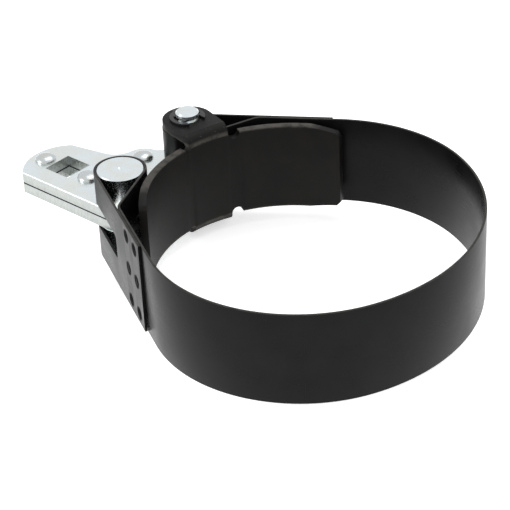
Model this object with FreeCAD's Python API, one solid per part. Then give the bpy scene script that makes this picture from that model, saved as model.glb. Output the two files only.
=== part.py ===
"""Oil filter wrench: a spring steel strap closed by a square-drive lever, with a curved jaw.

Frame: origin on the axis of the jaw's curved face, halfway up the strap; +Z along that axis.
All sizes are in millimetres.
"""
import FreeCAD, Part
import math
import os

# ---------------------------------------------------------------- driving dimensions
# strap
strap_width = 38.1
strap_thickness = 1.0
loop_short_room = 10.9        # from the jaw's inner radius to half of the loop across its short axis
loop_long_room = 17.95        # from the jaw's inner radius to half of the loop along its long axis
loop_long_axis_angle = 70.0
fold_length_room = 5.4        # what the doubled strap is longer than the jaw's inner radius
fold_gap = 0.1                # between the two layers of a doubled end
split_length = 27.2           # from the pin's foot to where the two layers part
split_bend_radius = 5.0
anchor_slot_length = 26.0     # from the pin's foot to the slot's closed end
pivot_slot_length = 14.0
slot_clearance = 0.45         # above and below the lever
slot_corner_radius = 1.6

# strap ends: outward direction of each doubled end, in degrees about +Z
anchor_end_angle = 200.4
pivot_end_angle = 82.5

# rivets through the doubled strap ends
end_rivet_shank_radius = 2.0
end_rivet_sink_angle = 45.0   # of the countersinks on both sides
end_rivet_outer_radius = 3.0  # countersink at the strap's outer face
end_rivet_inner_radius = 2.7  # countersink at the strap's inner face
end_rivet_recess = 0.45       # rivet's outer end below the strap's outer face
end_rivet_dish_depth = 0.35   # outer and inner rows
end_rivet_dome_height = 0.6   # middle row
end_rivet_edge_distance = 5.9
end_rivet_column_pitch = 10.3
end_rivet_row_margin = 4.75   # from the strap's edge to the nearest row

# pins
barrel_radius = 9.525
pivot_pin_radius = 4.7625
pin_angle_pivot = 124.8
pin_angle_anchor = 160.9
spigot_radius = 5.0
barrel_chamfer = 0.4
dimple_radius = 0.9
dimple_depth = 0.6
pin_end_length = 2.4          # beyond the retaining clip's groove
pin_end_chamfer = 0.7

# jaw
jaw_radius = 52.9             # inner face
jaw_thickness = 3.0
jaw_edge_setback = 0.35       # below the strap's edge, above and below
jaw_start_angle = 65.0
jaw_end_angle = 185.0
jaw_taper_length = 13.0
jaw_taper_drop = 2.1
jaw_corner_cut = 1.6
ear_half_width = 9.6          # at the bend
ear_radius = 10.3             # around the pivot pin
ear_bend_radius = 1.5         # inside of the bend
relief_radius_small = 1.5
relief_radius_large = 2.5

# lever
lever_plate_thickness = 4.7625
lever_angle = -40.7           # direction of the straight front edge
head_radius = 18.7
head_to_anchor_along = 36.9
head_to_anchor_across = 5.3
nose_radius = 9.4             # around the anchor pin
eye_radius = 9.5              # around the pivot pin
web_half_width = 6.3          # between the third rivet and the eye
back_edge_distance = 16.4     # from the drive's centre to the straight back edge
back_edge_angle = 11.5        # from the front edge's direction
back_fillet_radius = 9.0
corner_radius = 1.5
drive_square = 12.7
lever_rivet_shank_radius = 3.0
lever_rivet_head_radius = 4.3
lever_rivet_head_height = 2.4
rivet_boss_radius = 8.0       # lever outline around the third rivet
head_rivet_places = ((-11.6, -1.4), (13.3, -1.4))   # from the drive's centre
web_rivet_from_pivot = (-14.8, -12.6)
plate_edge_chamfer = 0.35

# retaining clips
clip_thickness = 1.0
clip_outer_radius = 7.3
clip_groove_radius = 3.9
clip_opening_angle = 312.0
clip_opening_half_width = 4.0
clip_lug_width = 3.2

# clearances
running_clearance = 0.05      # radial, pin in a turning hole
seat_clearance = 0.02         # radial, rivet or spigot in its hole
drive_clearance = 0.2         # across flats of the square
strap_to_barrel = 0.02        # strap loop around a barrel
loop_to_jaw = 1.8             # strap loop to the jaw's back
lever_to_jaw = 1.4            # lever's hollow edge to the jaw's back
strap_to_ear = 0.35           # strap's edge to each ear
roller_end_gap = 0.15         # rollers to lever and to ears
clip_side_gap = 0.05

# ---------------------------------------------------------------- derived values
half_width = strap_width / 2
fold_length = jaw_radius + fold_length_room   # from the pin's foot on the strap to the cut end
loop_short_half = jaw_radius + loop_short_room
loop_long_half = jaw_radius + loop_long_room
end_rivet_row_pitch = half_width - end_rivet_row_margin
jaw_half_height = half_width - jaw_edge_setback
jaw_back_radius = jaw_radius + jaw_thickness
pin_circle_radius = jaw_back_radius + loop_to_jaw + strap_thickness + strap_to_barrel + barrel_radius
wrap_radius = barrel_radius + strap_to_barrel
slot_half_height = lever_plate_thickness + slot_clearance
ear_lower_z = half_width + strap_to_ear
ear_upper_z = ear_lower_z + jaw_thickness
groove_z = ear_upper_z + clip_side_gap
pin_half_length = groove_z + clip_thickness + clip_side_gap + pin_end_length


def vec(x, y, z=0.0):
    """A FreeCAD vector."""
    return FreeCAD.Vector(x, y, z)


def polar(radius, angle, z=0.0):
    """The point at this radius and angle in degrees about +Z."""
    a = math.radians(angle)
    return vec(radius * math.cos(a), radius * math.sin(a), z)


def line(a, b):
    """A straight edge."""
    return Part.LineSegment(a, b).toShape()


def arc(a, mid, b):
    """A circular edge through three points."""
    return Part.Arc(a, mid, b).toShape()


def arc_about(centre, radius, start, end):
    """A circular edge about a centre, from one angle to another in degrees."""
    middle = (start + end) / 2
    return arc(centre + polar(radius, start), centre + polar(radius, middle), centre + polar(radius, end))


def face_of(edges):
    """A flat face inside a closed set of edges."""
    return Part.Face(Part.Wire(Part.__sortEdges__(edges)))


def prism(face, z0, z1):
    """The face raised from z0 to z1."""
    solid = face.extrude(vec(0, 0, z1 - z0))
    solid.translate(vec(0, 0, z0))
    return solid


def cylinder(radius, z0, z1, centre=vec(0, 0, 0)):
    """An upright cylinder."""
    return Part.makeCylinder(radius, z1 - z0, centre + vec(0, 0, z0), vec(0, 0, 1))


def polygon(points):
    """A flat face with straight sides."""
    return Part.Face(Part.makePolygon(list(points) + [points[0]]))


def turned(profile, place, axis):
    """A solid turned from (radius, height) points about an axis through place."""
    points = [vec(r, 0, h) for r, h in profile]
    solid = polygon(points).revolve(vec(0, 0, 0), vec(0, 0, 1), 360)
    solid = Part.makeSolid(solid.Shells[0]) if solid.ShapeType != "Solid" else solid
    solid.Placement = FreeCAD.Placement(place, FreeCAD.Rotation(vec(0, 0, 1), axis))
    return solid


def single(shape):
    """The one solid of a boolean result, with its seams merged."""
    solids = shape.removeSplitter().Solids
    if len(solids) != 1:
        raise ValueError("expected one solid, got %d" % len(solids))
    return solids[0]


pivot_place = polar(pin_circle_radius, pin_angle_pivot)
anchor_place = polar(pin_circle_radius, pin_angle_anchor)


# ---------------------------------------------------------------- strap
class StrapEnd:
    """One folded end of the strap, in axes of its own.

    s runs from the pin's foot along the doubled strap towards the loop; q points inwards.
    """

    def __init__(self, pin, outward_angle, turn, slot_length):
        self.pin = pin
        self.slot_length = slot_length
        self.angle = outward_angle
        self.out = polar(1.0, outward_angle)
        self.along = polar(1.0, outward_angle + turn * 90.0)
        self.inner_distance = pin.dot(self.out) + wrap_radius - fold_gap - strap_thickness

    def at(self, s, q, z=0.0):
        """The point in the model's frame."""
        return self.pin + self.along * s - self.out * q + vec(0, 0, z)

    def offset_edges(self, ring_inner, ring_outer):
        """The two sides of the strap from the loop to the cut end, and the cut."""
        band_q = -wrap_radius + fold_gap
        split = vec(split_length, band_q)
        reach = split.Length
        touch_angle = math.atan2(split.y, split.x) + math.acos(wrap_radius / reach)
        touch = vec(math.cos(touch_angle), math.sin(touch_angle))
        leg = touch * wrap_radius - split
        leg_length = leg.Length
        leg = leg / leg_length
        bend = math.pi - math.atan2(leg.y, leg.x)
        outer_bend = split_bend_radius + strap_thickness
        setback = outer_bend * math.tan(bend / 2)
        bend_centre = vec(split_length + setback, band_q + outer_bend)
        edges = []
        cut_corners = []
        for near_loop, shift in ((ring_outer, 0.0), (ring_inner, strap_thickness)):
            radius = outer_bend - shift
            start = bend_centre + vec(0, -radius)
            stop = bend_centre + vec(-math.sin(bend) * radius, -math.cos(bend) * radius)
            middle = bend_centre + vec(-math.sin(bend / 2) * radius, -math.cos(bend / 2) * radius)
            wrap = wrap_radius + shift
            leave = vec(touch.x * wrap, touch.y * wrap)
            fold = vec(0, -wrap)
            far_angle = (touch_angle + 1.5 * math.pi) / 2
            far_side = vec(math.cos(far_angle) * wrap, math.sin(far_angle) * wrap)
            cut = vec(fold_length, -wrap)
            flat = (start, middle, stop, leave, far_side, fold, cut)
            start, middle, stop, leave, far_side, fold, cut = [self.at(p.x, p.y) for p in flat]
            edges.append(line(near_loop, start))
            edges.append(arc(start, middle, stop))
            edges.append(line(stop, leave))
            edges.append(arc(leave, far_side, fold))
            edges.append(line(fold, cut))
            cut_corners.append(cut)
        edges.append(line(*cut_corners))
        return edges

    def slot_cutter(self):
        """The opening for the lever, round at its closed end."""
        reach = wrap_radius + strap_thickness + 1.0
        block = Part.makeBox(self.slot_length + reach, 2 * reach, 2 * slot_half_height)
        ends = [e for e in block.Edges if abs(e.Vertexes[0].X - e.Vertexes[1].X) < 1e-6
                and e.Vertexes[0].X > reach and abs(e.Vertexes[0].Y - e.Vertexes[1].Y) > 1.0]
        block = block.makeFillet(slot_corner_radius, ends)
        block.translate(vec(-reach, -reach, -slot_half_height))
        turn = FreeCAD.Rotation(self.along, self.out * -1, vec(0, 0, 1), "ZXY")
        block.Placement = FreeCAD.Placement(self.pin, turn).multiply(block.Placement)
        return block

    def rivet_places(self):
        """Name and seat of each rivet, with its axis pointing outwards."""
        column = fold_length - end_rivet_edge_distance
        for i, s in enumerate((column - end_rivet_column_pitch, column)):
            for j, row in enumerate((1, 0, -1)):
                seat = self.at(s, -wrap_radius - strap_thickness, row * end_rivet_row_pitch)
                yield i * 3 + j + 1, row, seat


def loop_layout(ends):
    """Centres and radii of the four-arc loop's inner face, placed so both ends are tangent to it."""
    shift = (loop_long_half - loop_short_half) / (2 - math.sqrt(2))
    tight = loop_long_half - shift
    flat = loop_short_half + shift
    axes = (loop_long_axis_angle + 180.0, loop_long_axis_angle)
    rows = []
    for end, axis in zip(ends, axes):
        reach = tight + shift * math.cos(math.radians(end.angle - axis))
        rows.append((end.out.x, end.out.y, end.inner_distance - reach))
    (a, b, p), (c, d, q) = rows
    det = a * d - b * c
    centre = vec((p * d - b * q) / det, (a * q - p * c) / det)
    return centre, shift, tight, flat, axes


def make_strap(ends):
    """The strap: a loop with a folded, slotted and riveted end at each pin."""
    near, far = ends
    centre, shift, tight, flat, axes = loop_layout(ends)
    near_centre = centre + polar(shift, axes[0])
    far_centre = centre + polar(shift, axes[1])
    flat_centre = centre + polar(shift, axes[0] - 90.0)
    first = near.angle
    second = axes[0] + 45.0
    third = second + 90.0
    last = far.angle + 360.0
    edges = []
    for step in (0.0, strap_thickness):
        edges.append(arc_about(near_centre, tight + step, first, second))
        edges.append(arc_about(flat_centre, flat + step, second, third))
        edges.append(arc_about(far_centre, tight + step, third, last))
    for end, middle in ((near, near_centre), (far, far_centre)):
        inner = middle + polar(tight, end.angle)
        outer = middle + polar(tight + strap_thickness, end.angle)
        edges += end.offset_edges(inner, outer)
    strap = prism(face_of(edges), -half_width, half_width)
    for end in ends:
        strap = strap.cut(end.slot_cutter())
        strap = strap.cut([end_rivet_hole(seat, end.out) for _, _, seat in end.rivet_places()])
    return single(strap)


def end_rivet_sinks(grow):
    """Half outline, from the inner face outwards, of the rivet's shank and countersinks."""
    grip = 2 * strap_thickness + fold_gap
    slope = math.tan(math.radians(end_rivet_sink_angle))
    shank = end_rivet_shank_radius + grow
    inner = end_rivet_inner_radius + grow
    outer = end_rivet_outer_radius + grow
    sides = [(inner, -grip), (shank, -grip + (inner - shank) / slope), (shank, -(outer - shank) / slope)]
    return sides, outer, slope


def end_rivet_hole(seat, out):
    """The hole for one rivet through both strap layers, countersunk on both faces."""
    reach = 1.0
    sides, outer, _ = end_rivet_sinks(seat_clearance)
    inner, bottom = sides[0]
    profile = [(0, bottom - reach), (inner, bottom - reach)] + sides
    profile += [(outer, 0), (outer, reach), (0, reach)]
    return turned(profile, seat, out)


def end_rivet(seat, out, domed):
    """A rivet through both strap layers: flush inside, below the face outside."""
    sides, outer, slope = end_rivet_sinks(0.0)
    rim = outer - end_rivet_recess * slope
    profile = [(0, sides[0][1])] + sides + [(rim, -end_rivet_recess)]
    if domed:
        steps = 5
        foot = rim - 0.7
        for k in range(steps + 1):
            a = math.pi / 2 * k / steps
            radius = foot * math.cos(a) if k < steps else 0
            profile.append((radius, -end_rivet_recess + end_rivet_dome_height * math.sin(a)))
    else:
        low = -end_rivet_recess - end_rivet_dish_depth
        profile += [(rim - 0.4, -end_rivet_recess), (rim * 0.45, low), (0, low)]
    return turned(profile, seat, out)


# ---------------------------------------------------------------- jaw
def jaw_end_cutter(angle, side, level):
    """What is cut from one corner of the jaw, so that its end gets lower."""
    run = jaw_taper_length
    height = jaw_half_height
    low = height - jaw_taper_drop
    beyond = 3.0
    reach = 12.0
    points = [(run, height), (jaw_corner_cut, low + jaw_taper_drop * jaw_corner_cut / run)]
    points += [(0, low - jaw_corner_cut), (-beyond, low - jaw_corner_cut)]
    points += [(-beyond, height + 1), (run, height + 1)]
    outward = polar(1.0, angle)
    inwards = polar(1.0, angle + side * 90.0)
    base = polar(jaw_radius - reach, angle)
    corners = [base + inwards * w + vec(0, 0, level * z) for w, z in points]
    return polygon(corners).extrude(outward * (2 * reach))


def make_ear(level):
    """An ear with its bend, above (level 1) or below (level -1)."""
    outer_bend = ear_bend_radius + jaw_thickness
    bend_centre = vec(jaw_radius + outer_bend, 0, ear_upper_z - outer_bend)
    root_z = ear_upper_z - outer_bend
    diagonal = math.sqrt(0.5)
    foot_z = jaw_half_height - 4.0
    a = vec(jaw_radius, 0, foot_z)
    b = vec(jaw_radius, 0, root_z)
    c = bend_centre + vec(-outer_bend * diagonal, 0, outer_bend * diagonal)
    d = vec(bend_centre.x, 0, ear_upper_z)
    e = vec(bend_centre.x, 0, ear_lower_z)
    f = bend_centre + vec(-ear_bend_radius * diagonal, 0, ear_bend_radius * diagonal)
    g = vec(jaw_back_radius, 0, root_z)
    h = vec(jaw_back_radius, 0, foot_z)
    profile = face_of([line(a, b), arc(b, c, d), line(d, e), arc(e, f, g), line(g, h), line(h, a)])
    half_angle = math.degrees(math.asin(ear_half_width / jaw_back_radius))
    profile.rotate(vec(0, 0, 0), vec(0, 0, 1), pin_angle_pivot - half_angle)
    bend = profile.revolve(vec(0, 0, 0), vec(0, 0, 1), 2 * half_angle)
    bend = Part.makeSolid(bend) if bend.ShapeType == "Shell" else bend
    across = polar(1.0, pin_angle_pivot - 90.0)
    root = polar(bend_centre.x * math.cos(math.radians(half_angle)), pin_angle_pivot)
    root_half = bend_centre.x * math.sin(math.radians(half_angle))
    tongue = polygon([root - across * root_half, root + across * root_half,
                      pivot_place + across * ear_radius, pivot_place - across * ear_radius])
    tongue = prism(tongue, ear_lower_z, ear_upper_z)
    eye = cylinder(ear_radius, ear_lower_z, ear_upper_z, pivot_place)
    ear = bend.fuse([tongue, eye])
    if level < 0:
        ear = ear.mirror(vec(0, 0, 0), vec(0, 0, 1))
    return ear


def make_jaw():
    """The curved jaw with an upper and a lower ear for the pivot pin."""
    height = jaw_half_height
    span = jaw_end_angle - jaw_start_angle
    plate = Part.makeCylinder(jaw_back_radius, 2 * height, vec(0, 0, -height), vec(0, 0, 1), span)
    plate = plate.cut(cylinder(jaw_radius, -height, height))
    plate.rotate(vec(0, 0, 0), vec(0, 0, 1), jaw_start_angle)
    plate = plate.cut([jaw_end_cutter(angle, side, level)
                       for angle, side in ((jaw_start_angle, 1), (jaw_end_angle, -1)) for level in (1, -1)])
    half_angle = math.degrees(math.asin(ear_half_width / jaw_back_radius))
    jaw = plate.fuse([make_ear(1), make_ear(-1)])
    reach = jaw_thickness * 4
    for level in (1, -1):
        for radius, side in ((relief_radius_small, 1), (relief_radius_large, -1)):
            turn = half_angle + math.degrees(radius / jaw_back_radius)
            angle = pin_angle_pivot + side * turn
            start = polar(jaw_radius - reach / 2, angle, level * height)
            jaw = jaw.cut(Part.makeCylinder(radius, reach, start, polar(1.0, angle)))
    hole = pivot_pin_radius + seat_clearance
    return single(jaw.cut(cylinder(hole, -ear_upper_z - 1, ear_upper_z + 1, pivot_place)))


# ---------------------------------------------------------------- lever
lever_along = polar(1.0, lever_angle)
lever_across = polar(1.0, lever_angle + 90.0)
drive_place = anchor_place - lever_along * head_to_anchor_along + lever_across * head_to_anchor_across


def lever_point(along, across):
    """A point given from the drive's centre, along and across the front edge."""
    return drive_place + lever_along * along + lever_across * across


def from_drive(place):
    """A place's distances along and across the front edge, from the drive's centre."""
    step = place - drive_place
    return step.dot(lever_along), step.dot(lever_across)


def lever_rivet_places():
    """Places of the three rivets that hold the plates together."""
    pivot_along, pivot_across = from_drive(pivot_place)
    web = (pivot_along + web_rivet_from_pivot[0], pivot_across + web_rivet_from_pivot[1])
    return [lever_point(*place) for place in head_rivet_places + (web,)]


def band_between(start, end, half_start, half_end):
    """A straight-sided face between two places, with its own half width at each."""
    direction = end - start
    direction = direction / direction.Length
    side = vec(-direction.y, direction.x)
    return polygon([start + side * half_start, start - side * half_start,
                    end - side * half_end, end + side * half_end])


def lever_blank():
    """A lever plate before its corners are rounded and its holes are made."""
    front = nose_radius + head_to_anchor_across
    front_start = lever_point(-math.sqrt(head_radius ** 2 - front ** 2), -front)
    web_place = lever_rivet_places()[2]
    slant = polar(1.0, lever_angle + back_edge_angle)
    upwards = polar(1.0, lever_angle + back_edge_angle + 90.0)
    back_start = drive_place + upwards * back_edge_distance
    back_start -= slant * math.sqrt(head_radius ** 2 - back_edge_distance ** 2)
    web_step = web_place - drive_place
    hollow_height = back_edge_distance + back_fillet_radius
    reach = rivet_boss_radius + back_fillet_radius
    hollow_run = web_step.dot(slant) - math.sqrt(reach ** 2 - (web_step.dot(upwards) - hollow_height) ** 2)
    hollow = drive_place + slant * hollow_run + upwards * hollow_height
    to_boss = (web_place - hollow) / reach
    downwards = (to_boss - upwards) / (to_boss - upwards).Length
    low = hollow - upwards * back_fillet_radius
    high = hollow + to_boss * back_fillet_radius
    corners = [low, back_start, front_start, lever_point(head_to_anchor_along, -front),
               anchor_place, pivot_place, web_place, high]
    edges = [line(a, b) for a, b in zip(corners, corners[1:])]
    edges.append(arc(high, hollow + downwards * back_fillet_radius, low))
    head = cylinder(head_radius, 0, lever_plate_thickness, drive_place)
    sides = ((lever_along, lever_across * -1, front), (slant, upwards, back_edge_distance))
    for run, away, distance in sides:
        near = drive_place + away * distance
        far = near + away * head_radius
        reach = run * (2 * head_radius)
        waste = polygon([near - reach, near + reach, far + reach, far - reach])
        head = head.cut(prism(waste, -1, lever_plate_thickness + 1))
    discs = [cylinder(radius, 0, lever_plate_thickness, place) for radius, place in
             ((nose_radius, anchor_place), (eye_radius, pivot_place), (rivet_boss_radius, web_place))]
    bands = [band_between(anchor_place, pivot_place, nose_radius, eye_radius),
             band_between(web_place, pivot_place, web_half_width, web_half_width)]
    blank = prism(face_of(edges), 0, lever_plate_thickness)
    blank = blank.fuse([head] + discs + [prism(band, 0, lever_plate_thickness) for band in bands])
    blank = blank.cut(cylinder(jaw_back_radius + lever_to_jaw, -1, lever_plate_thickness + 1))
    return single(blank)


def sharp_corners(blank):
    """Upright edges where the outline turns sharply."""
    found = []
    for edge in blank.Edges:
        if abs(edge.Vertexes[0].Z - edge.Vertexes[-1].Z) < 0.5:
            continue
        faces = blank.ancestorsOfType(edge, Part.Face)
        if len(faces) != 2:
            continue
        point = edge.Vertexes[0].Point
        first, second = [f.normalAt(*f.Surface.parameter(point)) for f in faces]
        if math.degrees(first.getAngle(second)) > 12:
            found.append(edge)
    return found


def flat_sides(blank):
    """The blank's top and bottom faces."""
    return [f for f in blank.Faces if f.BoundBox.ZLength < 0.001]


def make_lever_plate(blank, z0):
    """One lever plate with its holes, from z0 upwards."""
    plate = blank.copy()
    plate.translate(vec(0, 0, z0))
    top = z0 + lever_plate_thickness
    half = (drive_square + drive_clearance) / 2
    corners = ((-half, -half), (half, -half), (half, half), (-half, half))
    square = polygon([lever_point(x, y) for x, y in corners])
    cuts = [prism(square, z0 - 1, top + 1)]
    cuts.append(cylinder(pivot_pin_radius + running_clearance, z0 - 1, top + 1, pivot_place))
    cuts.append(cylinder(spigot_radius + seat_clearance, z0 - 1, top + 1, anchor_place))
    for place in lever_rivet_places():
        cuts.append(cylinder(lever_rivet_shank_radius + seat_clearance, z0 - 1, top + 1, place))
    return single(plate.cut(cuts))


def lever_rivet(place):
    """A rivet through both plates with a low round head at each end."""
    half = lever_plate_thickness
    head = lever_rivet_head_radius
    rim = 0.4
    rise = lever_rivet_head_height - rim
    steps = 8
    dome = [(head * math.cos(math.pi / 2 * k / steps), half + rim + rise * math.sin(math.pi / 2 * k / steps))
            for k in range(steps)]
    upper = [(lever_rivet_shank_radius, half), (head, half)] + dome + [(0, half + rim + rise)]
    lower = [(r, -h) for r, h in reversed(upper)]
    return turned(lower + upper, place, vec(0, 0, 1))


def anchor_half(level):
    """One half of the anchor pin: a barrel for the strap and a spigot in the lever plate."""
    start = lever_plate_thickness
    top = half_width
    profile = [(0, seat_clearance), (spigot_radius, seat_clearance), (spigot_radius, start)]
    profile += [(barrel_radius, start), (barrel_radius, top - barrel_chamfer)]
    profile += [(barrel_radius - barrel_chamfer, top), (dimple_radius, top), (0, top - dimple_depth)]
    return turned(profile, anchor_place, vec(0, 0, level))


# ---------------------------------------------------------------- pivot
def make_pivot_pin():
    """The pivot pin, grooved at both ends for the retaining clips."""
    end = pin_half_length
    gap = clip_thickness + clip_side_gap
    upper = [(pivot_pin_radius, groove_z), (clip_groove_radius, groove_z)]
    upper += [(clip_groove_radius, groove_z + gap), (pivot_pin_radius, groove_z + gap)]
    upper += [(pivot_pin_radius, end - pin_end_chamfer), (pivot_pin_radius - pin_end_chamfer, end), (0, end)]
    lower = [(r, -h) for r, h in reversed(upper)]
    return turned(lower + upper, pivot_place, vec(0, 0, 1))


def pivot_roller(level):
    """A roller that the strap's loop turns on, above or below the lever."""
    low = lever_plate_thickness + roller_end_gap
    high = ear_lower_z - roller_end_gap
    bore = pivot_pin_radius + running_clearance
    profile = [(bore, low), (barrel_radius, low), (barrel_radius, high - barrel_chamfer),
               (barrel_radius - barrel_chamfer, high), (bore, high)]
    return turned(profile, pivot_place, vec(0, 0, level))


def make_clip(level):
    """An E-shaped retaining clip in the pin's groove, open towards the filter."""
    z0 = groove_z
    z1 = groove_z + clip_thickness
    ring = cylinder(clip_outer_radius, z0, z1)
    ring = ring.cut(cylinder(clip_groove_radius + seat_clearance, z0 - 1, z1 + 1))
    half = clip_opening_half_width
    reach = clip_outer_radius + 1
    mouth = polygon([vec(0, -half), vec(reach, -half), vec(reach, half), vec(0, half)])
    mouth = prism(mouth, z0 - 1, z1 + 1)
    ring = ring.cut(mouth)
    pocket = clip_outer_radius - pivot_pin_radius
    cuts = []
    for side in (1, -1):
        inner = cylinder(pivot_pin_radius + pocket * 0.35, z0 - 1, z1 + 1)
        start = side * 100.0 - 30.0
        wedge = polygon([vec(0, 0), polar(2 * reach, start), polar(2 * reach, start + 60.0)])
        cuts.append(inner.common(prism(wedge, z0 - 1, z1 + 1)))
    ring = ring.cut(cuts)
    lug = Part.makeBox(1.0, clip_lug_width, clip_thickness)
    lug.translate(vec(-clip_outer_radius - 0.7, -clip_lug_width / 2, z0))
    ring = single(ring.fuse(lug))
    ring.rotate(vec(0, 0, 0), vec(0, 0, 1), clip_opening_angle)
    ring.translate(pivot_place)
    if level < 0:
        ring = ring.mirror(vec(0, 0, 0), vec(0, 0, 1))
    return ring


# ---------------------------------------------------------------- everything
def make_parts():
    """Every sub-part by name."""
    anchor_end = StrapEnd(anchor_place, anchor_end_angle, 1, anchor_slot_length)
    pivot_end = StrapEnd(pivot_place, pivot_end_angle, -1, pivot_slot_length)
    parts = {"strap": make_strap((anchor_end, pivot_end))}
    for name, end in (("anchor", anchor_end), ("pivot", pivot_end)):
        for number, row, seat in end.rivet_places():
            parts["%s_end_rivet_%d" % (name, number)] = end_rivet(seat, end.out, row == 0)
    blank = lever_blank()
    blank = blank.makeFillet(corner_radius, sharp_corners(blank))
    blank = blank.makeChamfer(plate_edge_chamfer, [e for f in flat_sides(blank) for e in f.Edges])
    parts["lever_plate_upper"] = make_lever_plate(blank, 0.0)
    parts["lever_plate_lower"] = make_lever_plate(blank, -lever_plate_thickness)
    for number, place in enumerate(lever_rivet_places(), 1):
        parts["lever_rivet_%d" % number] = lever_rivet(place)
    parts["jaw"] = make_jaw()
    parts["pivot_pin"] = make_pivot_pin()
    for word, level in (("upper", 1), ("lower", -1)):
        parts["anchor_pin_%s" % word] = anchor_half(level)
        parts["pivot_roller_%s" % word] = pivot_roller(level)
        parts["retaining_clip_%s" % word] = make_clip(level)
    return parts


def main():
    """Write one STEP file for each sub-part."""
    os.makedirs("parts", exist_ok=True)
    for name, shape in make_parts().items():
        if not shape.isValid():
            raise ValueError("%s is not a valid solid" % name)
        shape.exportStep("parts/%s.step" % name)
        print("%-24s %10.1f mm3" % (name, shape.Volume))


main()
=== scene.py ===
import math

import bmesh
import bpy
from bpy.props import FloatProperty, FloatVectorProperty, IntProperty, PointerProperty, StringProperty
from mathutils import Matrix, Vector


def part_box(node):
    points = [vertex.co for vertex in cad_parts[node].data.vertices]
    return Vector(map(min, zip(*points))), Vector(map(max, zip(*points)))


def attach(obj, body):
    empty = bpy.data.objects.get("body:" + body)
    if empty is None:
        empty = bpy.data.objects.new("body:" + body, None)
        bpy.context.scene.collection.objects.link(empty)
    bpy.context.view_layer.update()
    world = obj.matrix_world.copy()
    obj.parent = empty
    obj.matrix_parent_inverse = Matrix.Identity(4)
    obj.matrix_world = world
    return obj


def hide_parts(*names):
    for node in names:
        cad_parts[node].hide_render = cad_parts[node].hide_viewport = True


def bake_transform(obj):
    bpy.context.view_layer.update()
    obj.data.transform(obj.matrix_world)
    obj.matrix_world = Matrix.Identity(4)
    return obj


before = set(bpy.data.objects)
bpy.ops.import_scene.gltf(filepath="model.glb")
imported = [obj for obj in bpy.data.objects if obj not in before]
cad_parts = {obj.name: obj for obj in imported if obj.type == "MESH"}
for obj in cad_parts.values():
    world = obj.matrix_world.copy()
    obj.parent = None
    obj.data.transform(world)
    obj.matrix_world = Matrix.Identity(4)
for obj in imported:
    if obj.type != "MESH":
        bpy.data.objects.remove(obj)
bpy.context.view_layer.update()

bl_info = {
    "name": "Strap Filter Wrench",
    "version": (1, 0, 0),
    "blender": (4, 5, 0),
    "location": "View3D > Sidebar > Filter Wrench",
    "description": "Finishes and detailed pieces for a square-drive strap wrench for oil filters",
    "category": "Object",
}

MM = 0.001
EAR_RISE = 3.7 * MM   # from the jaw's upper edge to its ear's top
PLATE_THICKNESS = 4.7625 * MM   # of one lever plate
STRAP_LOW, STRAP_HIGH = (Vector(v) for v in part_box("strap"))
PIVOT = sum((Vector(v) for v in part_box("pivot_pin")), Vector()) / 2
ANCHOR = sum((Vector(v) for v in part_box("anchor_pin_upper")), Vector()) / 2
ANCHOR.z = 0.0
BARREL_RADIUS = (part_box("anchor_pin_upper")[1][0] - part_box("anchor_pin_upper")[0][0]) / 2


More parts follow.
